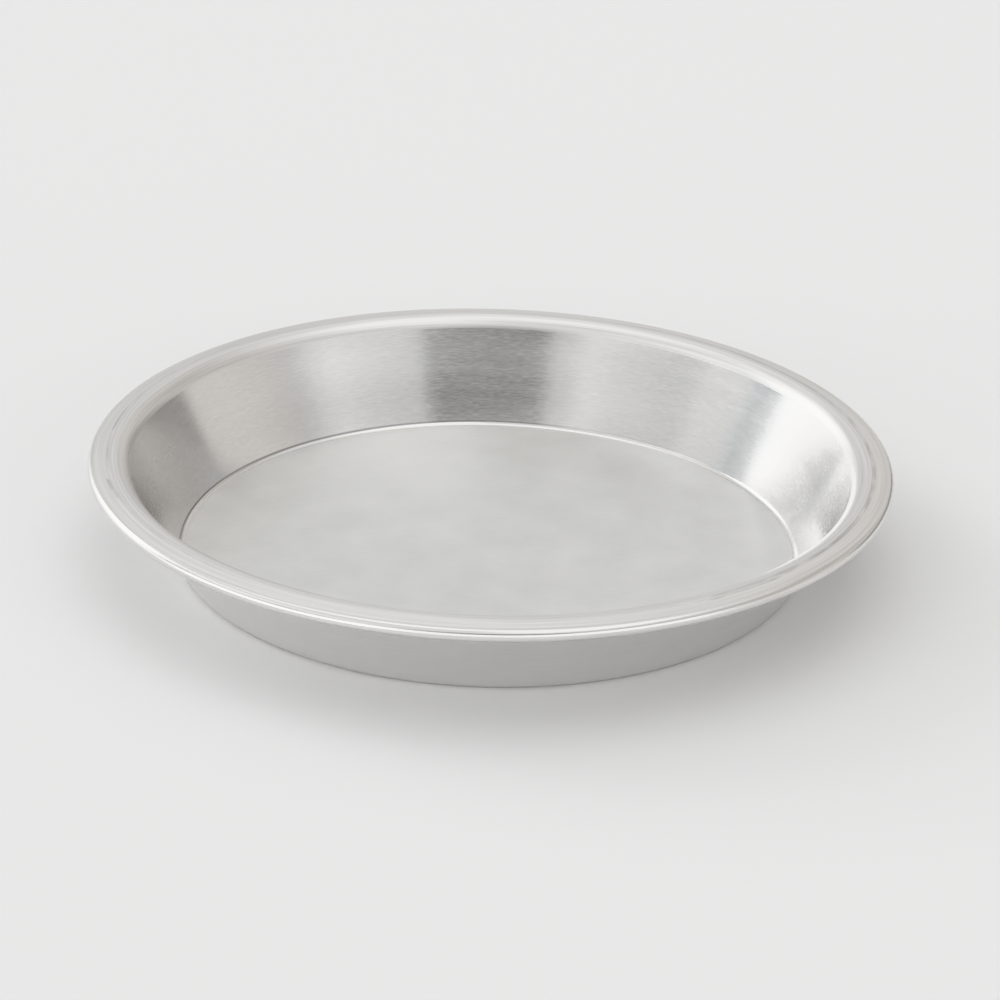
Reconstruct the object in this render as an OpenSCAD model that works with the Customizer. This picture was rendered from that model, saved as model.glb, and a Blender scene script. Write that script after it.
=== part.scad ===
// Pie tin pressed from one round blank of aluminium sheet. The blank is drawn into a flat base
// and a leaning wall, its margin is turned out over a round shoulder into a flange that falls a
// little, and the flange's cut edge is rolled under, so that the rim is stiff and safe to hold.
// The base's underside lies on Z = 0 and the tin's axis is Z.

/* [Rim] */
// Diameter of the whole tin, over the rolled edge
rim_d = 230; // [212:1:260]
// Width of the flange, from the top of the shoulder to the middle of the rolled edge
flange_w = 5; // [4:0.1:9]
// How far the flange falls, from the top of the shoulder to the top of the rolled edge
flange_fall = 0.8; // [0.2:0.1:1.4]
// Outside diameter of the rolled edge's section
curl_d = 3.6; // [2.8:0.1:4.6]
// How far round the edge is rolled, in degrees: 180 points straight back under the flange
curl_turn = 270; // [180:5:285]

/* [Wall and base] */
// Height of the tin's highest ring, the top of the shoulder, above the table
height = 30.4; // [22:0.2:45]
// Diameter of the flat of the base, out to where the corner starts to bend
base_d = 175.6; // [140:0.2:192]
// Radius inside the tin where the base turns up into the wall
corner_r = 1.7; // [1:0.1:6]
// Radius under the sheet where the wall turns out into the flange
shoulder_r = 5.1; // [2:0.1:9]

/* [Sheet] */
// Thickness of the sheet
sheet = 0.8; // [0.5:0.1:1.1]

/* [Hidden] */
// Widest step along a bend's arc, in degrees
arc_step = 5;
$fn = 180;

// Centres of the three bends in the section, as [radius, height]
curl_c = [(rim_d - curl_d) / 2, height - flange_fall - curl_d / 2];
shoulder_c = [curl_c.x - flange_w, height - sheet - shoulder_r];
corner_c = [base_d / 2, sheet + corner_r];

// The wall is the straight stretch that touches the corner bend and the shoulder bend from
// opposite sides. Its lean from upright is the lean of the line between the two centres, less
// the angle at which the wall crosses that line.
span = shoulder_c - corner_c;
lean = atan2(span.x, span.y) - asin((corner_r + sheet + shoulder_r) / norm(span));

// The flange is the straight stretch that lies on the shoulder bend and the rolled edge from
// above. Its upper face points this many degrees up from level.
reach = curl_c - shoulder_c;
flange_a = atan2(reach.y, reach.x) + acos((shoulder_r + sheet - curl_d / 2) / norm(reach));

// Points along an arc about centre c, from angle a to angle b
function arc(c, r, a, b) =
    let (steps = ceil(abs(b - a) / arc_step))
    [for (i = [0:steps]) let (t = a + (b - a) * i / steps) c + r * [cos(t), sin(t)]];

function reversed(points) = [for (i = [len(points) - 1:-1:0]) points[i]];

// The line at depth d below the sheet's upper face, from the middle of the base, round the
// corner, up the wall, over the shoulder, along the flange and round the rolled edge
function layer(d) = concat(
    [[0, sheet - d]],
    arc(corner_c, corner_r + d, -90, -lean),
    arc(shoulder_c, shoulder_r + sheet - d, 180 - lean, flange_a),
    arc(curl_c, curl_d / 2 - d, flange_a, 90 - curl_turn)
);

module sheet_section() {
    polygon(concat(layer(0), reversed(layer(sheet))));
}

module pie_tin() {
    color("silver")
        rotate_extrude()
            sheet_section();
}

pie_tin();
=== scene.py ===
# %% [markdown]
# # A pressed aluminium pie tin
#
# The tin is one round piece of aluminium sheet. A press draws it into a flat base and a leaning
# wall, turns its margin out over a round shoulder into a narrow flange, and rolls the cut edge
# under. The solid model of that shape comes ready made as a fixed frame. This script gives it the
# surface that the real tin has: a satin base, a burnished wall, a scuffed flange, and a bright
# rolled edge.
#
# Lengths are metres. Z is the tin's axis and points up, and the base stands on Z = 0.

import bpy
import numpy as np
from mathutils import Matrix, Vector


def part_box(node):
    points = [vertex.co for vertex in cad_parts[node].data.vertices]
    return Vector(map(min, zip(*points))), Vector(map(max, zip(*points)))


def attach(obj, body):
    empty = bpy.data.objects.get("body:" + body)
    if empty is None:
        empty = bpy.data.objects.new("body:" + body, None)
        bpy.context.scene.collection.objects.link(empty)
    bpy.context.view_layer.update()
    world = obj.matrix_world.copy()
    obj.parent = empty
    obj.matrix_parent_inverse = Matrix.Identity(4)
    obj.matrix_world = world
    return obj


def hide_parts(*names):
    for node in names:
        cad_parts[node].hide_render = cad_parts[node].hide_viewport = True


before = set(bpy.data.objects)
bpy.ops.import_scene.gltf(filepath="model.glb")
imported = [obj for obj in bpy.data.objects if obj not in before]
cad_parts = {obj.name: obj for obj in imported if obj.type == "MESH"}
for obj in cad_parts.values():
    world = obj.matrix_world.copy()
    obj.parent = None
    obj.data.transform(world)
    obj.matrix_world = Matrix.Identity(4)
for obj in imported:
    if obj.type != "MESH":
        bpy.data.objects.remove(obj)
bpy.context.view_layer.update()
MM = 0.001


# %% [markdown]
# ## The camera
#
# The photograph looks down on the tin at 25 degrees, from far enough away that the rim is nearly a
# true ellipse. The lens is given as a focal length in pixels, because that is what a fit of circles
# to a picture yields. The camera could be aimed by hand, but a rule is easier to check: it looks at
# the middle of the base, turns until that point falls on its own pixel, and then rolls a little, as
# the photographer's camera did.

# %% Place the camera
IMAGE_PX = 1000
SENSOR_MM = 36.0
VIEW_ELEVATION = np.radians(25.04)
VIEW_DISTANCE = 1.100
VIEW_ROLL = np.radians(1.58)
FOCAL_PX = 3799.5
BASE_CENTRE_PX = np.array([489.0, 547.6])


def turn(axis, angle):
    """Rotation about the unit vector axis: I + sin(a) K + (1 - cos(a)) K K, with K its cross product."""
    x, y, z = axis
    cross = np.array([[0, -z, y], [z, 0, -x], [-y, x, 0]])
    return np.eye(3) + np.sin(angle) * cross + (1 - np.cos(angle)) * cross @ cross


eye = VIEW_DISTANCE * np.array([0, -np.cos(VIEW_ELEVATION), np.sin(VIEW_ELEVATION)])
forward = -eye / VIEW_DISTANCE
right = np.array([1.0, 0, 0])
looks_at_base = np.array([right, np.cross(forward, right), forward])
off_x, off_y = BASE_CENTRE_PX - IMAGE_PX / 2
yaw = turn((0, 1, 0), np.arctan2(off_x, FOCAL_PX))
pitch = turn((1, 0, 0), -np.arctan2(off_y, np.hypot(FOCAL_PX, off_x)))
roll = turn((0, 0, 1), VIEW_ROLL)
world_to_view = yaw @ pitch @ roll @ looks_at_base

camera = bpy.data.objects.new("camera", bpy.data.cameras.new("camera"))
bpy.context.scene.collection.objects.link(camera)
bpy.context.scene.camera = camera
camera.data.sensor_width = SENSOR_MM
camera.data.lens = FOCAL_PX * SENSOR_MM / IMAGE_PX
pose = np.eye(4)
pose[:3, :3] = world_to_view.T @ np.diag([1, -1, -1])
pose[:3, 3] = eye
camera.matrix_world = Matrix(pose.tolist())
print("camera at", np.round(eye, 3), "with a lens of", round(camera.data.lens, 1), "mm")


# %% [markdown]
# ## The light
#
# Polished metal has almost no colour of its own: it shows what stands around it. So the light is
# made as a room, not as one lamp. The room is a white tent. It is brighter overhead, it has a dark
# opening behind the camera and another low on the right, and a bright window low on the left. Each
# of these is one reflection in the tin's wall, which mirrors the tent at twice its own angle.
#
# Softboxes could be built as objects, but a world shader gives the same reflections with less
# noise, and it lights the tin alike from every side. The camera itself sees a plain pale tent, so
# that no patch of light shows behind the tin in a low view.

# %% A helper that adds one node
# A colour Mix has its two colours in sockets 6 and 7, and its result in output 2. A Math node has its
# values in sockets 0, 1 and 2, and its result in output 0.
def add(tree, kind, sockets=None, **settings):
    """Adds a node of that kind, sets its properties, and fills or links its input sockets."""
    node = tree.nodes.new(kind)
    for name, value in settings.items():
        setattr(node, name, value)
    for name, value in (sockets or {}).items():
        if isinstance(value, bpy.types.NodeSocket):
            tree.links.new(value, node.inputs[name])
        else:
            node.inputs[name].default_value = value
    return node


def linear(colour):
    """The linear RGBA of an sRGB hex colour such as "e6e6e6", by the sRGB curve."""
    srgb = np.array([int(colour[i : i + 2], 16) for i in (0, 2, 4)]) / 255
    return (*np.where(srgb <= 0.04045, srgb / 12.92, ((srgb + 0.055) / 1.055) ** 2.4), 1.0)


print("the white of the card is", round(float(linear("f1f1f1")[0]), 3), "in linear light")

# %% Say where the tent is brighter or darker
# Each patch has its azimuth from the camera's side, positive to the right, its elevation, half its
# width, half its height and the softness of its edge, all in degrees. The last value of a patch is
# what it adds to the tent's radiance, and the last value of a tint is the colour of its light.
TENT_LOW, TENT_HIGH = 0.78, 0.87
# What the camera itself sees of the tent: as pale as the table.
TENT_BEHIND = 0.87
PATCHES = {
    "camera opening": (2.5, 37, 22.5, 8, 3, -0.405),
    "opening low right": (137.5, 1, 20.5, 13, 2, -0.46),
    "window low left": (-126, 24, 16, 12, 3, 2.5),
    "window frame": (-103, 27, 6, 12, 3, -0.20),
    "card low in front": (15, 8, 50, 18, 10, 0.76),
    "strip low on the left": (-60, 1, 32, 9, 3, 3.4),
    "strip low at the back left": (-120, 2, 24, 9, 4, 0.8),
    "wall of the tent": (39, 34, 115, 11, 4, -0.23),
    "softbox overhead": (120, 72, 113, 10, 8, 0.56),
    "softbox on the left": (-66, 40, 34, 10, 6, 0.40),
    "dim corner behind": (-172, 8, 22, 14, 8, -0.10),
}
TINTS = {
    "warm wall on the right": (122, 22, 46, 26, 10, "fffbf7"),
    "cool window frame": (-103, 27, 8, 12, 4, "f5fbff"),
}
print("patches:", ", ".join(PATCHES))

# %% Turn each direction into its azimuth and elevation
world = bpy.data.worlds.new("studio")
bpy.context.scene.world = world
world.use_nodes = True
sky = world.node_tree
sky.nodes.clear()
direction = add(sky, "ShaderNodeTexCoord").outputs["Generated"]
part = add(sky, "ShaderNodeSeparateXYZ", {0: direction}).outputs
toward = add(sky, "ShaderNodeMath", {0: part["Y"], 1: -1.0}, operation="MULTIPLY").outputs[0]
azimuth = add(sky, "ShaderNodeMath", {0: part["X"], 1: toward}, operation="ARCTAN2").outputs[0]
elevation = add(sky, "ShaderNodeMath", {0: part["Z"]}, operation="ARCSINE").outputs[0]
print("directions:", len(sky.nodes), "nodes")


# %% Build the tent
def inside(angle, centre, half, soft):
    """1 where angle lies within half of centre and 0 outside it, eased over soft each way."""
    centre, half, soft = np.radians([centre, half, soft])
    away = add(sky, "ShaderNodeMath", {0: angle, 1: -centre}, operation="ADD").outputs[0]
    away = add(sky, "ShaderNodeMath", {0: away, 1: np.pi, 2: -np.pi}, operation="WRAP").outputs[0]
    away = add(sky, "ShaderNodeMath", {0: away}, operation="ABSOLUTE").outputs[0]
    edge = {"Value": away, "From Min": half + soft, "From Max": half - soft}
    return add(sky, "ShaderNodeMapRange", edge, interpolation_type="SMOOTHSTEP").outputs[0]


def patch(at_azimuth, at_elevation, half_width, half_height, soft):
    """1 inside a patch of the tent and 0 outside it: the product of both angles' inside()."""
    across = inside(azimuth, at_azimuth, half_width, soft)
    upward = inside(elevation, at_elevation, half_height, soft)
    return add(sky, "ShaderNodeMath", {0: across, 1: upward}, operation="MULTIPLY").outputs[0]


climb = {"Value": elevation, "From Max": np.pi / 2, "To Min": TENT_LOW, "To Max": TENT_HIGH}
radiance = add(sky, "ShaderNodeMapRange", climb).outputs[0]
for name, (*shape, change) in PATCHES.items():
    sum_of = {0: patch(*shape), 1: change, 2: radiance}
    radiance = add(sky, "ShaderNodeMath", sum_of, operation="MULTIPLY_ADD", label=name).outputs[0]
colour = linear("ffffff")
for name, (*shape, tint) in TINTS.items():
    blend = {0: patch(*shape), 6: colour, 7: linear(tint)}
    colour = add(sky, "ShaderNodeMix", blend, data_type="RGBA", label=name).outputs[2]
tent = add(sky, "ShaderNodeBackground", {"Color": colour, "Strength": radiance}).outputs[0]
white = {"Color": linear("ffffff"), "Strength": TENT_BEHIND}
plain = add(sky, "ShaderNodeBackground", white).outputs[0]
seen = add(sky, "ShaderNodeLightPath").outputs["Is Camera Ray"]
both = add(sky, "ShaderNodeMixShader", {0: seen, 1: tent, 2: plain})
add(sky, "ShaderNodeOutputWorld", {"Surface": both.outputs[0]})
print("tent of light with", len(PATCHES), "patches and", len(TINTS), "tints")

# %% [markdown]
# One real lamp stands high behind the tin on the left. It is weak and wide, and all it does is lean
# the soft shadow a little towards the front and right. The tin stands on matt white card, which
# throws light back up under the flange and into the outside of the wall.

# %% Hang the lamp
LAMP_AZIMUTH = np.radians(-150)
LAMP_ELEVATION = np.radians(60)
LAMP_DISTANCE = 1.6
LAMP_SIZE = 0.7
LAMP_WATTS = 0.35

level = np.cos(LAMP_ELEVATION)
lamp_from = Vector((level * np.sin(LAMP_AZIMUTH), -level * np.cos(LAMP_AZIMUTH), np.sin(LAMP_ELEVATION)))
lamp = bpy.data.objects.new("softbox", bpy.data.lights.new("softbox", "AREA"))
bpy.context.scene.collection.objects.link(lamp)
lamp.data.shape = "DISK"
lamp.data.size = LAMP_SIZE
lamp.data.energy = LAMP_WATTS
lamp.location = lamp_from * LAMP_DISTANCE
lamp.rotation_euler = lamp_from.to_track_quat("Z", "Y").to_euler()
lamp.visible_camera = False
print("lamp at", np.round(lamp.location, 2))


# %% Lay the table
def begin(name, wearer):
    """A new, empty material of that name in the next slot of the object wearer. Gives its node tree."""
    material = bpy.data.materials.new(name)
    material.use_nodes = True
    material.node_tree.nodes.clear()
    wearer.data.materials.append(material)
    return material.node_tree


TABLE_HALF = 10.0
# A hair of air under the tin, so that no two faces lie in one plane and darken each other.
TABLE_DROP = 0.03 * MM
CARD_IOR = 1.2
square = TABLE_HALF * np.array([(-1, -1, 0), (1, -1, 0), (1, 1, 0), (-1, 1, 0)]) - (0, 0, TABLE_DROP)
table = bpy.data.objects.new("table", bpy.data.meshes.new("table"))
bpy.context.scene.collection.objects.link(table)
table.data.from_pydata(square, [], [(0, 1, 2, 3)])
# White card, uncoated: its fibres scatter light evenly, so it shows the eye no gloss. Its index of
# refraction is set below the 1.45 of the fibres, because they have no smooth skin to mirror a room.
fibres = {"Base Color": linear("f1f1f1"), "Roughness": 0.9, "IOR": CARD_IOR}
tree = begin("white card, matt", table)
shader = add(tree, "ShaderNodeBsdfPrincipled", fibres)
add(tree, "ShaderNodeOutputMaterial", {"Surface": shader.outputs[0]})
print("table is", 2 * TABLE_HALF, "m square")

# %% [markdown]
# ## The section of the sheet
#
# The tin is a solid of revolution, so one section says all of it. The sheet has three bends: the
# corner at the base, the shoulder at the top of the wall, and the rolled edge. Between them it is
# straight. The section is drawn as arcs about three centres, at two depths of the sheet. That gives
# both faces from the same few sizes, and the exact normal at every point.

# %% Work out the section's bends
SHEET = 0.8 * MM
BASE_R = 87.8 * MM
CORNER_R = 1.7 * MM
SHOULDER_R = 5.1 * MM
FLANGE_W = 5.0 * MM
FLANGE_FALL = 0.8 * MM
CURL_R = 1.8 * MM
CURL_TURN = np.radians(270)
UP = np.pi / 2

box_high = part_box("pie_tin")[1]
curl_c = np.array([box_high.x - CURL_R, box_high.z - FLANGE_FALL - CURL_R])
shoulder_c = np.array([curl_c[0] - FLANGE_W, box_high.z - SHEET - SHOULDER_R])
corner_c = np.array([BASE_R, SHEET + CORNER_R])
span = shoulder_c - corner_c
lean = np.arctan2(*span) - np.arcsin((CORNER_R + SHEET + SHOULDER_R) / np.hypot(*span))
reach = curl_c - shoulder_c
flange_up = np.arctan2(*reach[::-1]) + np.arccos((SHOULDER_R + SHEET - CURL_R) / np.hypot(*reach))
print("wall leans", round(float(np.degrees(lean)), 2), "degrees from upright")
print("flange falls", round(float(np.degrees(UP - flange_up)), 2), "degrees from level")


# %% Draw both faces of the sheet
# How many steps each stretch of the section has. The face that is seen has more.
UPPER_STEPS = {"base": 20, "corner": 14, "wall": 40, "shoulder": 24, "flange": 40, "curl": 44}
LOWER_STEPS = {"base": 8, "corner": 10, "wall": 14, "shoulder": 10, "flange": 4, "curl": 16}
# A stretch's steps can crowd together at one end: over 1 at its start, under 1 at its end.
BASE_CROWD = 0.7
WALL_CROWD = 1.7
print("steps:", sum(UPPER_STEPS.values()), "above and", sum(LOWER_STEPS.values()), "below")


def bend(centre, radius, start, end, steps, side):
    """Arc c + r (cos a, sin a) for a from start to end. The upper face's normal is side (cos a, sin a)."""
    a = np.linspace(start, end, steps + 1)[:, None]
    ray = np.hstack([np.cos(a), np.sin(a)])
    return centre + radius * ray, side * ray


def straight(a, b, steps, crowd=1.0):
    """Points strictly between a and b, a + t (b - a) with t = (i / steps) ** crowd, and the left normal."""
    t = np.linspace(0, 1, steps + 1)[1:-1, None] ** crowd
    run = (b - a) / np.hypot(*(b - a))
    return a + t * (b - a), np.repeat([[-run[1], run[0]]], len(t), 0)


def layer(depth, steps):
    """The line at that depth below the upper face, from the middle of the base to the rolled edge."""
    corner = bend(corner_c, CORNER_R + depth, -UP, -lean, steps["corner"], -1)
    shoulder = bend(shoulder_c, SHOULDER_R + SHEET - depth, np.pi - lean, flange_up, steps["shoulder"], 1)
    curl = bend(curl_c, CURL_R - depth, flange_up, UP - CURL_TURN, steps["curl"], 1)
    middle = np.array([[0, SHEET - depth]]), np.array([[0.0, 1.0]])
    base = straight(middle[0][0], corner[0][0], steps["base"], BASE_CROWD)
    wall = straight(corner[0][-1], shoulder[0][0], steps["wall"], WALL_CROWD)
    flange = straight(shoulder[0][-1], curl[0][0], steps["flange"])
    return [np.vstack(parts) for parts in zip(middle, base, corner, wall, shoulder, flange, curl)]


# %% [markdown]
# ## What the tools left behind
#
# A section of true lines and arcs would look like a drawing. The wall of the real tin is bowed out
# by a tenth of a millimetre, where the sheet sprang back from the punch, and that is why the dark
# reflection in it fades towards the rim. The flange carries shallow grooves from the rollers that
# turned it. Both are too shallow to see as shapes, yet they bend every reflection, so they are in
# the mesh: each point moves along its normal, and the normal tips by the slope of that move.

# %% Press the bow and the grooves into the section
BOW = 0.12 * MM
# The step along the sheet over which a slope is measured.
NUDGE = 0.01 * MM
# Each groove's radius, half width and depth, in millimetres.
GROOVES = {
    "top of the shoulder": (108.0, 0.45, 0.030),
    "worn ring": (109.4, 0.35, 0.012),
    "middle of the flange": (111.0, 0.40, 0.022),
    "before the rolled edge": (112.7, 0.40, 0.035),
}

wall_foot = corner_c + CORNER_R * np.array([np.cos(lean), -np.sin(lean)])
wall_run = shoulder_c + (SHOULDER_R + SHEET) * np.array([-np.cos(lean), np.sin(lean)]) - wall_foot
wall_length = np.hypot(*wall_run)


def sunk(points):
    """How far the sheet lies below its true section: bow sin^2(pi t) up the wall, t from 0 at its foot
    to 1 at its top, and depth exp(-(x / half)^2) across each groove."""
    radius, height = points.T
    t = np.clip((points - wall_foot) @ wall_run / wall_length**2, 0, 1)
    depth = np.where(radius > BASE_R, BOW * np.sin(np.pi * t) ** 2, 0)
    on_rim = height > box_high.z - 2 * SHEET
    for at, half, deep in np.array(list(GROOVES.values())) * MM:
        depth += np.where(on_rim, deep * np.exp(-(((radius - at) / half) ** 2)), 0)
    return depth[:, None]


def pressed(points, normals):
    """The points moved along their normals by -sunk(), and the normals tipped by its slope."""
    tangent = normals[:, ::-1] * [1, -1]
    ahead, behind = (sunk(points + step * tangent) for step in (NUDGE, -NUDGE))
    tipped = normals + (ahead - behind) / (2 * NUDGE) * tangent
    return points - sunk(points) * normals, tipped / np.hypot(*tipped.T)[:, None]


upper, upper_normal = pressed(*layer(0.0, UPPER_STEPS))
lower, lower_normal = pressed(*layer(SHEET, LOWER_STEPS))
print("section points:", len(upper), "above and", len(lower), "below")

# %% [markdown]
# ## The tin as one mesh
#
# A lathe turns a section into a solid, and so does this step: the section goes round the axis in
# equal turns, and each turn of each point is a vertex. Blender's Screw modifier would do it too, but
# whole arrays also give each vertex its place on the sheet, which the finishes need, and normals as
# exact as the arcs.
#
# No pressed sheet is perfectly round either. The wall springs back more in some places than in
# others, while the flat base and the stiff rolled edge hold their rings. So a few slow waves go
# round the wall, highest halfway up. They make the edges of its reflections wander as real ones do.

# %% Spin the section round the axis
AROUND = 400
# Each wave's count round the tin, its start in radians and its height in millimetres. The swell is
# what share of them a height takes: 4 u (1 - u), with u the share of the tin's height.
WAVES = np.array([(3, 0.4, 0.10), (5, 2.1, 0.07), (8, 5.0, 0.04), (13, 1.3, 0.018), (21, 3.7, 0.008)])

section = np.vstack([upper, lower[::-1]])
section_normal = np.vstack([upper_normal, -lower_normal[::-1]])
rings = len(section)
along = np.concatenate([[0], np.cumsum(np.hypot(*np.diff(section, axis=0).T))])
theta = np.arange(AROUND) * 2 * np.pi / AROUND
cos_t, sin_t = np.cos(theta), np.sin(theta)

count, start, height = WAVES.T[:, :, None]
wave = MM * (height * np.cos(count * theta + start)).sum(0)
wave_slope = -MM * (height * count * np.sin(count * theta + start)).sum(0)
up_share = section[:, 1:] / box_high.z
swell = 4 * up_share * (1 - up_share)
swell_slope = 4 * (1 - 2 * up_share) / box_high.z

out = section[:, :1] + swell * wave
out[[0, -1]] = 0
points = np.stack([out * cos_t, out * sin_t, np.repeat(section[:, 1:], AROUND, 1)], 2)
print("spun:", rings, "rings of", AROUND, "points")
print("the wall wanders by up to", round(float(np.abs(wave).max() / MM), 2), "mm")

# %% Work out the normals
# A wave w(angle) s(height) moves the sheet along the radius. It tips the section's normal n by
# -(n.r) times its slopes: n.r w' s / radius round the tin, and n.r w s' up the section.
n_out, n_up = section_normal[:, :1], section_normal[:, 1:]
tip = n_out**2 * wave * swell_slope
tip_out = n_out + tip * n_up
tip_up = n_up - tip * n_out
tip_round = -n_out * swell * wave_slope / np.maximum(out, MM)
normals = np.stack([tip_out * cos_t - tip_round * sin_t, tip_out * sin_t + tip_round * cos_t, tip_up], 2)
normals /= np.linalg.norm(normals, axis=2, keepdims=True)
print("normals lean at most", round(float(np.degrees(np.abs(tip_round).max())), 2), "degrees aside")

# %% Join the faces
# Vertex 0 is the middle of the base's upper face, and the last one is the middle of its underside.
body = np.arange(AROUND * (rings - 2)).reshape(rings - 2, AROUND) + 1
beside = np.roll(body, -1, axis=1)
quads = np.stack([body[:-1], body[1:], beside[1:], beside[:-1]], 2).reshape(-1, 4)
top, bottom = 0, body[-1, -1] + 1
first, last = (np.stack([ring, np.roll(ring, -1)], 1) for ring in (body[0], body[-1]))
fan_up = np.insert(first, 0, top, axis=1)
fan_down = np.insert(last[:, ::-1], 0, bottom, axis=1)


def by_vertex(grid):
    """The rows of a rings by AROUND grid in vertex order, with one row for each of the two middles."""
    return np.vstack([grid[0, :1], grid[1:-1].reshape(-1, 3), grid[-1, :1]])


tin = bpy.data.objects.new("pie_tin_sheet", bpy.data.meshes.new("pie_tin_sheet"))
bpy.context.scene.collection.objects.link(tin)
tin.data.from_pydata(by_vertex(points), [], [*fan_up.tolist(), *quads.tolist(), *fan_down.tolist()])
tin.data.shade_smooth()
print("mesh:", len(tin.data.vertices), "vertices and", len(tin.data.polygons), "faces")

# %% Give each vertex its place on the sheet
# The place is (cos, sin) of the angle round the tin, and millimetres along the section. A pattern
# that reads it runs round the tin with no seam.
place = np.stack(np.broadcast_arrays(cos_t, sin_t, along[:, None] / MM), 2)
on_sheet = tin.data.attributes.new("place", "FLOAT_VECTOR", "POINT")
on_sheet.data.foreach_set("vector", by_vertex(place).ravel())

END_MM = dict(zip(UPPER_STEPS, along[np.cumsum(list(UPPER_STEPS.values()))] / MM))
print("each stretch ends at", {name: round(float(end), 1) for name, end in END_MM.items()}, "mm")

# %% Set the normals
# The cut edge of the sheet, inside the roll, is a flat ring, and keeps its own flat normals. The mesh
# has the upper fan's triangles first, one for each turn, and then the quads, strip by strip. The
# edge's strip is the one between the two faces of the sheet.
corner_vertex = np.zeros(len(tin.data.loops), int)
tin.data.loops.foreach_get("vertex_index", corner_vertex)
corner_normal = by_vertex(normals)[corner_vertex]
flat = np.zeros(len(tin.data.polygons) * 3)
tin.data.polygons.foreach_get("normal", flat)
cut_quads = AROUND * (len(upper) - 2) + np.arange(AROUND)
cut_corners = 3 * AROUND + 4 * cut_quads[:, None] + np.arange(4)
corner_normal[cut_corners] = flat.reshape(-1, 3)[AROUND + cut_quads][:, None]
tin.data.normals_split_custom_set(corner_normal)
print("normals set on", len(corner_normal), "face corners")

# %% [markdown]
# ## The finishes
#
# All of the tin is one metal, so its finishes differ only in what the tools did to it. A face keeps
# the finish of its stretch of the section. Bare aluminium reflects about nine tenths of the light,
# almost evenly over the colours, so every finish starts from metallic 1 and a pale grey, and the
# index of refraction keeps its default. What tells them apart is roughness, and the size and
# direction of the marks.
#
# The marks are noise, stretched round the tin. A wave texture would draw rings too, but all alike.

# %% Share the faces out among the finishes
BASE, WALL, RIM, EDGE, OUTSIDE = range(5)
FINISH_OF = {"base": BASE, "corner": WALL, "wall": WALL, "shoulder": RIM, "flange": RIM, "curl": EDGE}
above = np.repeat([FINISH_OF[name] for name in UPPER_STEPS], list(UPPER_STEPS.values()))
in_roll = np.repeat(EDGE, 1 + LOWER_STEPS["curl"])
below = np.repeat(OUTSIDE, sum(LOWER_STEPS.values()) - LOWER_STEPS["curl"])
strips = np.concatenate([above, in_roll, below])
tin.data.polygons.foreach_set("material_index", np.repeat(strips, AROUND).astype(np.int32))
print("strips of each finish:", np.bincount(strips))

# %% A helper for marks that run round the tin
WALL_RADIUS_MM = 95
print("marks are as long as they say at a radius of", WALL_RADIUS_MM, "mm")


def marks(tree, long_mm, wide_mm, keep=(0.3, 0.7)):
    """Noise from 0 to 1 in marks about long_mm round the tin and wide_mm along the section. It is
    scaled by radius / long_mm in the plane of the angle and by 1 / wide_mm along the section. The
    values between the two of keep are spread over 0 to 1."""
    here = add(tree, "ShaderNodeAttribute", attribute_name="place").outputs["Vector"]
    scale = (WALL_RADIUS_MM / long_mm, WALL_RADIUS_MM / long_mm, 1 / wide_mm)
    drawn = add(tree, "ShaderNodeMapping", {"Vector": here, "Scale": scale}).outputs[0]
    noise = add(tree, "ShaderNodeTexNoise", {"Vector": drawn, "Scale": 1.0, "Detail": 2.0}).outputs["Fac"]
    spread = {"Value": noise, "From Min": keep[0], "From Max": keep[1]}
    return add(tree, "ShaderNodeMapRange", spread).outputs[0]


def ring(tree, along_mm, at_mm, half_mm, core=0.3):
    """1 where the socket along_mm is at_mm, 0 from half_mm away, and eased from core of that."""
    off = add(tree, "ShaderNodeMath", {0: along_mm, 1: at_mm}, operation="SUBTRACT").outputs[0]
    off = add(tree, "ShaderNodeMath", {0: off}, operation="ABSOLUTE").outputs[0]
    sides = {"Value": off, "From Min": half_mm, "From Max": core * half_mm}
    return add(tree, "ShaderNodeMapRange", sides, interpolation_type="SMOOTHSTEP").outputs[0]


# A quarter turn lays the brushed blur across the marks, as real marks that run round do.
BRUSHED = {"Anisotropic Rotation": 0.25, "Metallic": 1.0}

# %% [markdown]
# ### The satin base
#
# The base is the sheet as the rolling mill left it. Hard rollers print their fine grain in it, all
# one way, and washing leaves it a little uneven. To the eye that is a soft grey sheen with no clear
# reflection, faintly streaked. Its grain is far too fine to see in the picture, about a twentieth of
# a millimetre, so it is drawn twelve times as coarse.

# %% Finish the base
GRAIN_LONG, GRAIN_WIDE = 4.0 * MM, 0.6 * MM
GRAIN_TURN = 0.2
HANDLED_SIZE = 16 * MM
PIT_SIZE = 1.7 * MM
PIT_DEPTH = 0.03 * MM
BASE_ROUGH = {"To Min": 0.41, "To Max": 0.49}

tree = begin("aluminium sheet, mill finish", tin)
here = add(tree, "ShaderNodeTexCoord").outputs["Object"]
drawn = {"Vector": here, "Rotation": (0, 0, GRAIN_TURN), "Scale": (1 / GRAIN_LONG, 1 / GRAIN_WIDE, 1)}
rolled = add(tree, "ShaderNodeMapping", drawn).outputs[0]
grain = add(tree, "ShaderNodeTexNoise", {"Vector": rolled, "Scale": 1.0, "Detail": 3.0}).outputs["Fac"]
spots = {"Vector": here, "Scale": 1 / HANDLED_SIZE, "Detail": 3.0}
handled = add(tree, "ShaderNodeTexNoise", spots).outputs["Fac"]
both = add(tree, "ShaderNodeMath", {0: grain, 1: 0.5, 2: handled}, operation="MULTIPLY_ADD").outputs[0]
share = add(tree, "ShaderNodeMapRange", {"Value": both, "From Min": 0.5, "From Max": 1.0}).outputs[0]
tones = {0: share, 6: linear("e0e0de"), 7: linear("e8e8e6")}
colour = add(tree, "ShaderNodeMix", tones, data_type="RGBA").outputs[2]
soft = {"Value": handled, "From Min": 0.3, "From Max": 0.7, **BASE_ROUGH}
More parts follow.
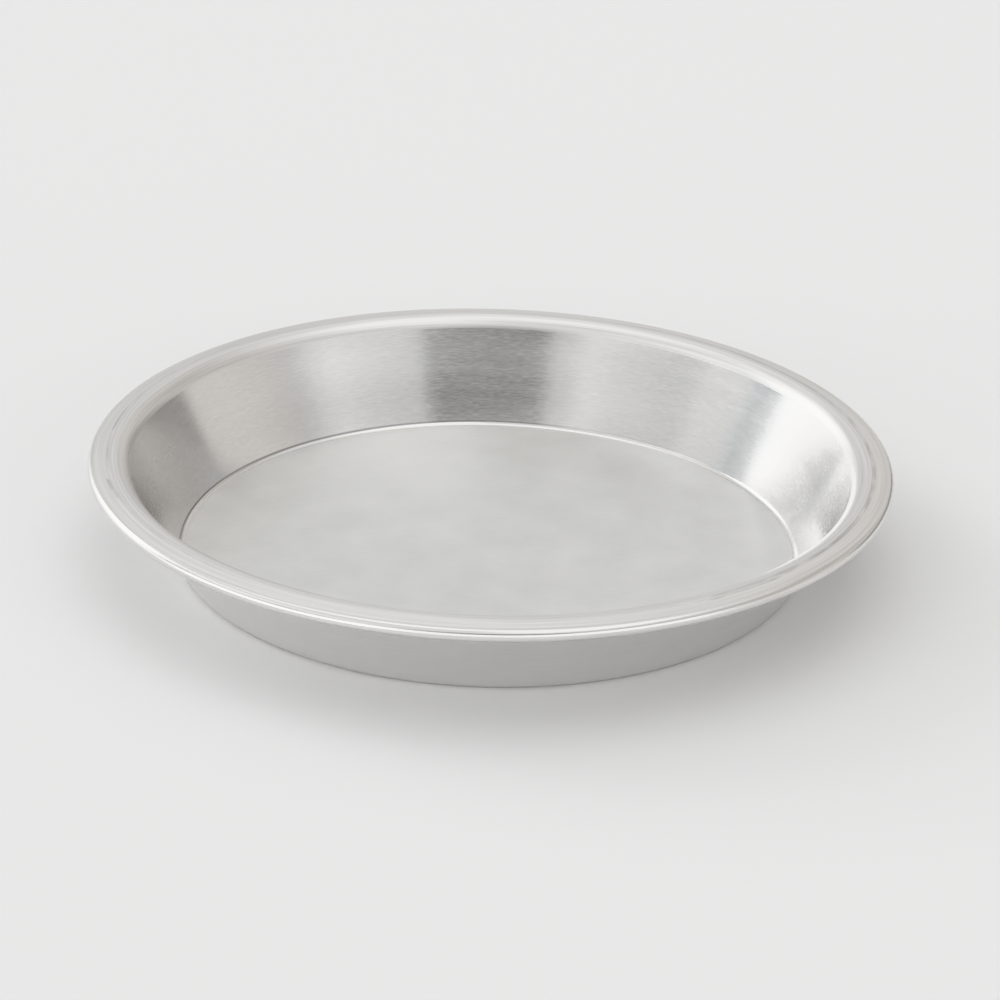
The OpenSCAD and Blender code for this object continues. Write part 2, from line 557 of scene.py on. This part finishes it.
roughness = add(tree, "ShaderNodeMapRange", soft).outputs[0]
fine = {"Vector": here, "Scale": 1 / PIT_SIZE, "Detail": 3.0}
pits = add(tree, "ShaderNodeTexNoise", fine).outputs["Fac"]
bump = add(tree, "ShaderNodeBump", {"Height": pits, "Distance": PIT_DEPTH}).outputs[0]
look = {"Metallic": 1.0, "Base Color": colour, "Roughness": roughness, "Normal": bump}
shader = add(tree, "ShaderNodeBsdfPrincipled", look)
add(tree, "ShaderNodeOutputMaterial", {"Surface": shader.outputs[0]})
print("base:", len(tree.nodes), "nodes")

# %% [markdown]
# ### The burnished wall
#
# The punch irons the wall as it draws it, and rubs it bright. What is left are short, fine scratches
# that run round the tin. To the eye the wall is a blurred mirror: it shows the dark opening and the
# window as upright patches with soft, brushed edges, and in a dark patch each scratch is a light
# dash, because it scatters light from all round. So the scratches are in the roughness first. A weak
# bump and a slight sideways tilt of the normal fray the patches' edges.
#
# A real scratch is about a twentieth of a millimetre wide. It is drawn six times as wide, which is
# just enough to show in the picture. Where hands hold the tin, left and right, the burnish is rubbed
# duller in blotches. A dark grey line is painted in the corner at the wall's foot: painted shade, the
# darkening the corner shows there, strongest on the left of the tin and fading out towards the right.

# %% Colour the wall
# How long and how wide the marks of each kind are, in millimetres.
FINE_SCRATCHES = (3, 0.35)
# The painted shade line in the corner: how far below the end of the corner, half its width, and
# where it is strongest and ends, as the cosine of the angle from the right.
SHADE_LINE_BELOW_MM, SHADE_LINE_HALF_MM = 0.1, 0.45
SHADE_LINE_STRENGTH = {"From Min": -1.0, "From Max": 0.85, "To Min": 0.62, "To Max": 0.0}

tree = begin("aluminium, drawn and burnished", tin)
tangent = add(tree, "ShaderNodeTangent", direction_type="RADIAL", axis="Z").outputs[0]
fine = marks(tree, *FINE_SCRATCHES)
tones = {0: fine, 6: linear("e1e0df"), 7: linear("e8e7e6")}
clean = add(tree, "ShaderNodeMix", tones, data_type="RGBA").outputs[2]
here = add(tree, "ShaderNodeAttribute", attribute_name="place").outputs["Vector"]
part = add(tree, "ShaderNodeSeparateXYZ", {0: here}).outputs
shade_line = ring(tree, part["Z"], END_MM["corner"] - SHADE_LINE_BELOW_MM, SHADE_LINE_HALF_MM)
shade_strength = add(tree, "ShaderNodeMapRange", {"Value": part["X"], **SHADE_LINE_STRENGTH}).outputs[0]
corner_shade = add(tree, "ShaderNodeMath", {0: shade_line, 1: shade_strength}, operation="MULTIPLY").outputs[0]
# Painted shade: along the corner line the wall's colour is mixed towards a dark grey.
shaded_tones = {0: corner_shade, 6: clean, 7: linear("6f6e6b")}
colour = add(tree, "ShaderNodeMix", shaded_tones, data_type="RGBA", label="painted corner shade").outputs[2]
print("wall colour:", len(tree.nodes), "nodes")

# %% Scratch the wall and rub its sides
SCRATCHES = (2.2, 0.32)
POLISH = (40, 3)
RUBS = (7, 5)
SCRATCH_ROUGH = 0.055
WALL_ROUGH = {"To Min": 0.16, "To Max": 0.19}
RUB_ROUGH = {"To Min": 0.035, "To Max": 0.078}
# The rubs begin and are whole at these cosines of the angle from the right or left.
HANDS = {"From Min": 0.88, "From Max": 0.99}

even = {"Value": marks(tree, *POLISH), **WALL_ROUGH}
bright = add(tree, "ShaderNodeMapRange", even).outputs[0]
scratches = marks(tree, *SCRATCHES, keep=(0.4, 0.75))
rougher = {0: scratches, 1: SCRATCH_ROUGH, 2: bright}
scratched = add(tree, "ShaderNodeMath", rougher, operation="MULTIPLY_ADD").outputs[0]
to_side = add(tree, "ShaderNodeMath", {0: part["X"]}, operation="ABSOLUTE").outputs[0]
hands = {"Value": to_side, **HANDS}
at_sides = add(tree, "ShaderNodeMapRange", hands, interpolation_type="SMOOTHSTEP").outputs[0]
rubs = {"Value": marks(tree, *RUBS), **RUB_ROUGH}
rub = add(tree, "ShaderNodeMapRange", rubs).outputs[0]
handled = {0: at_sides, 1: rub, 2: scratched}
roughness = add(tree, "ShaderNodeMath", handled, operation="MULTIPLY_ADD").outputs[0]
print("wall scratches:", len(tree.nodes), "nodes")

# %% Fray and cut the wall's normal
# The tilt swings from minus half to plus half of SIDE_TILT, which is the tangent of its angle.
FRAYS = (7, 0.45)
SIDE_TILT = 0.003
DEEP_SCRATCHES = (5, 0.25)
DEEPER = 2.5
SCRATCH_DEPTH = 0.0008 * MM

aside = {0: marks(tree, *FRAYS), 1: SIDE_TILT, 2: -SIDE_TILT / 2}
tilt = add(tree, "ShaderNodeMath", aside, operation="MULTIPLY_ADD").outputs[0]
sideways = add(tree, "ShaderNodeVectorMath", {0: tangent, "Scale": tilt}, operation="SCALE").outputs[0]
exact = add(tree, "ShaderNodeNewGeometry").outputs["Normal"]
tipped = add(tree, "ShaderNodeVectorMath", {0: exact, 1: sideways}, operation="ADD").outputs[0]
facing = add(tree, "ShaderNodeVectorMath", {0: tipped}, operation="NORMALIZE").outputs[0]
deeper = {0: marks(tree, *DEEP_SCRATCHES, keep=(0.66, 0.74)), 1: DEEPER, 2: fine}
relief = add(tree, "ShaderNodeMath", deeper, operation="MULTIPLY_ADD").outputs[0]
cut = {"Height": relief, "Distance": SCRATCH_DEPTH, "Normal": facing}
bump = add(tree, "ShaderNodeBump", cut).outputs[0]
look = {"Base Color": colour, "Roughness": roughness, "Normal": bump, "Tangent": tangent}
shader = add(tree, "ShaderNodeBsdfPrincipled", {**BRUSHED, **look, "Anisotropic": 0.6})
add(tree, "ShaderNodeOutputMaterial", {"Surface": shader.outputs[0]})
print("wall:", len(tree.nodes), "nodes")

# %% [markdown]
# ### The scuffed flange
#
# Rollers turn the margin out over the shoulder, and leave rings in it. Then the flange is what the
# tin is held by and what other tins rub against, so it is duller than the wall, and it is worn in
# places: a grey ring where a stacked tin sat, a few short scuffs and a smudge. The burnish of the
# wall fades out over the shoulder. To the eye it is a satin band with thin rings and grey rubs. The
# finest of its rings are a fifth of a millimetre wide, and are drawn as coarse as they need to show.

# %% Give the flange its rings
# How long and how wide the marks of each kind are, in millimetres.
FINE_RINGS = (30, 0.35)
RINGS = (500, 0.9)

tree = begin("aluminium, rolled flange, scuffed", tin)
tangent = add(tree, "ShaderNodeTangent", direction_type="RADIAL", axis="Z").outputs[0]
fine = marks(tree, *FINE_RINGS)
turned = marks(tree, *RINGS, keep=(0.35, 0.65))
both = add(tree, "ShaderNodeMath", {0: turned, 1: fine}, operation="ADD").outputs[0]
share = add(tree, "ShaderNodeMath", {0: both, 1: 0.5}, operation="MULTIPLY").outputs[0]
tones = {0: share, 6: linear("d7d6d4"), 7: linear("efeeec")}
colour = add(tree, "ShaderNodeMix", tones, data_type="RGBA").outputs[2]
print("flange rings:", len(tree.nodes), "nodes")

# %% Wear the flange
# Each mark's angle round the tin in degrees from the right, half its length in degrees, its radius
# and half its width in millimetres, and its strength.
WEAR = {
    "ring on the right": (0, 75, 109.2, 0.8, 0.75),
    "ring on the left": (180, 60, 109.5, 0.6, 0.45),
    "arc": (172, 7, 109.75, 0.3, 1.0),
    "smudge": (-163, 4, 110.3, 0.6, 0.8),
    "dashes": (-50, 9, 110.2, 0.45, 1.0),
    "dash": (-32, 5, 109.3, 0.4, 1.0),
}
WORN = linear("c4c3c1")
PATCHES_OF_WEAR = (9, 1.5)
# The share of a mark's half length and half width over which it is whole.
WHOLE_LENGTH, WHOLE_WIDTH = 0.7, 0.4

patchy = marks(tree, *PATCHES_OF_WEAR, keep=(0.35, 0.6))
here = add(tree, "ShaderNodeAttribute", attribute_name="place").outputs["Vector"]
along_mm = add(tree, "ShaderNodeSeparateXYZ", {0: here}).outputs["Z"]
widest = section[: len(upper), 0].argmax()
for name, (at, half, radius_mm, half_mm, strength) in WEAR.items():
    at_mm = np.interp(radius_mm * MM, section[:widest, 0], along[:widest]) / MM
    band = ring(tree, along_mm, at_mm, half_mm, WHOLE_WIDTH)
    middle = (np.cos(np.radians(at)), np.sin(np.radians(at)), 0)
    near = add(tree, "ShaderNodeVectorMath", {0: here, 1: middle}, operation="DOT_PRODUCT").outputs["Value"]
    stop, full = np.cos(np.radians([half, half * WHOLE_LENGTH]))
    ends = {"Value": near, "From Min": stop, "From Max": full, "To Max": strength}
    length = add(tree, "ShaderNodeMapRange", ends, interpolation_type="SMOOTHSTEP").outputs[0]
    mark = add(tree, "ShaderNodeMath", {0: length, 1: band}, operation="MULTIPLY").outputs[0]
    mark = add(tree, "ShaderNodeMath", {0: mark, 1: patchy}, operation="MULTIPLY").outputs[0]
    rubbed = {0: mark, 6: colour, 7: WORN}
    colour = add(tree, "ShaderNodeMix", rubbed, data_type="RGBA", label=name).outputs[2]
print("flange wear:", len(tree.nodes), "nodes for", len(WEAR), "marks")

# %% Finish the flange
FLANGE_ROUGH = {"To Min": 0.28, "To Max": 0.36}
RING_ROUGH = 0.08
RING_DEPTH = 0.006 * MM

over_shoulder = {"From Min": END_MM["wall"], "From Max": END_MM["shoulder"]}
fade = add(tree, "ShaderNodeMapRange", {"Value": along_mm, **over_shoulder, **FLANGE_ROUGH}).outputs[0]
rougher = {0: fine, 1: RING_ROUGH, 2: fade}
roughness = add(tree, "ShaderNodeMath", rougher, operation="MULTIPLY_ADD").outputs[0]
bump = add(tree, "ShaderNodeBump", {"Height": fine, "Distance": RING_DEPTH}).outputs[0]
look = {"Base Color": colour, "Roughness": roughness, "Normal": bump, "Tangent": tangent}
shader = add(tree, "ShaderNodeBsdfPrincipled", {**BRUSHED, **look, "Anisotropic": 0.3})
add(tree, "ShaderNodeOutputMaterial", {"Surface": shader.outputs[0]})
print("flange:", len(tree.nodes), "nodes")

# %% [markdown]
# ### The rolled edge and the outside
#
# The rollers that curl the edge under press hardest there, so it is the brightest part: to the eye
# it is a thin white line with a dark one beside it, broken only by faint rings. The outside of the
# wall slid through the die. It is even and half dull, and mirrors nothing but the table. The rings and
# marks of both are drawn a few times as coarse as real.

# %% Finish the rolled edge
EDGE_RINGS = (20, 0.3)
EDGE_ROUGH = {"To Min": 0.22, "To Max": 0.26}

tree = begin("aluminium, rolled edge, bright", tin)
fine = marks(tree, *EDGE_RINGS)
tones = {0: fine, 6: linear("e0dfdd"), 7: linear("ecebe9")}
colour = add(tree, "ShaderNodeMix", tones, data_type="RGBA").outputs[2]
roughness = add(tree, "ShaderNodeMapRange", {"Value": fine, **EDGE_ROUGH}).outputs[0]
look = {"Metallic": 1.0, "Base Color": colour, "Roughness": roughness}
shader = add(tree, "ShaderNodeBsdfPrincipled", look)
add(tree, "ShaderNodeOutputMaterial", {"Surface": shader.outputs[0]})
print("rolled edge:", len(tree.nodes), "nodes")

# %% Finish the outside
DRAWN_MARKS = (12, 0.6)
DIE_POLISH = (45, 6)
OUTSIDE_ROUGH = {"To Min": 0.285, "To Max": 0.31}

tree = begin("aluminium, drawn through the die", tin)
fine = marks(tree, *DRAWN_MARKS)
broad = marks(tree, *DIE_POLISH)
tones = {0: fine, 6: linear("e7e6e5"), 7: linear("eae9e8")}
colour = add(tree, "ShaderNodeMix", tones, data_type="RGBA").outputs[2]
roughness = add(tree, "ShaderNodeMapRange", {"Value": broad, **OUTSIDE_ROUGH}).outputs[0]
look = {"Metallic": 1.0, "Base Color": colour, "Roughness": roughness}
shader = add(tree, "ShaderNodeBsdfPrincipled", look)
add(tree, "ShaderNodeOutputMaterial", {"Surface": shader.outputs[0]})
print("outside:", len(tree.nodes), "nodes")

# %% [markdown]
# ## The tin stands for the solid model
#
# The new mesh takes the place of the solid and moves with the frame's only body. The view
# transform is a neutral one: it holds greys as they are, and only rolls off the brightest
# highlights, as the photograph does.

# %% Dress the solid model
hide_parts("pie_tin")
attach(tin, "root")
print(tin.name, "has", len(tin.data.materials), "finishes")
bpy.context.scene.view_settings.view_transform = "Khronos PBR Neutral"
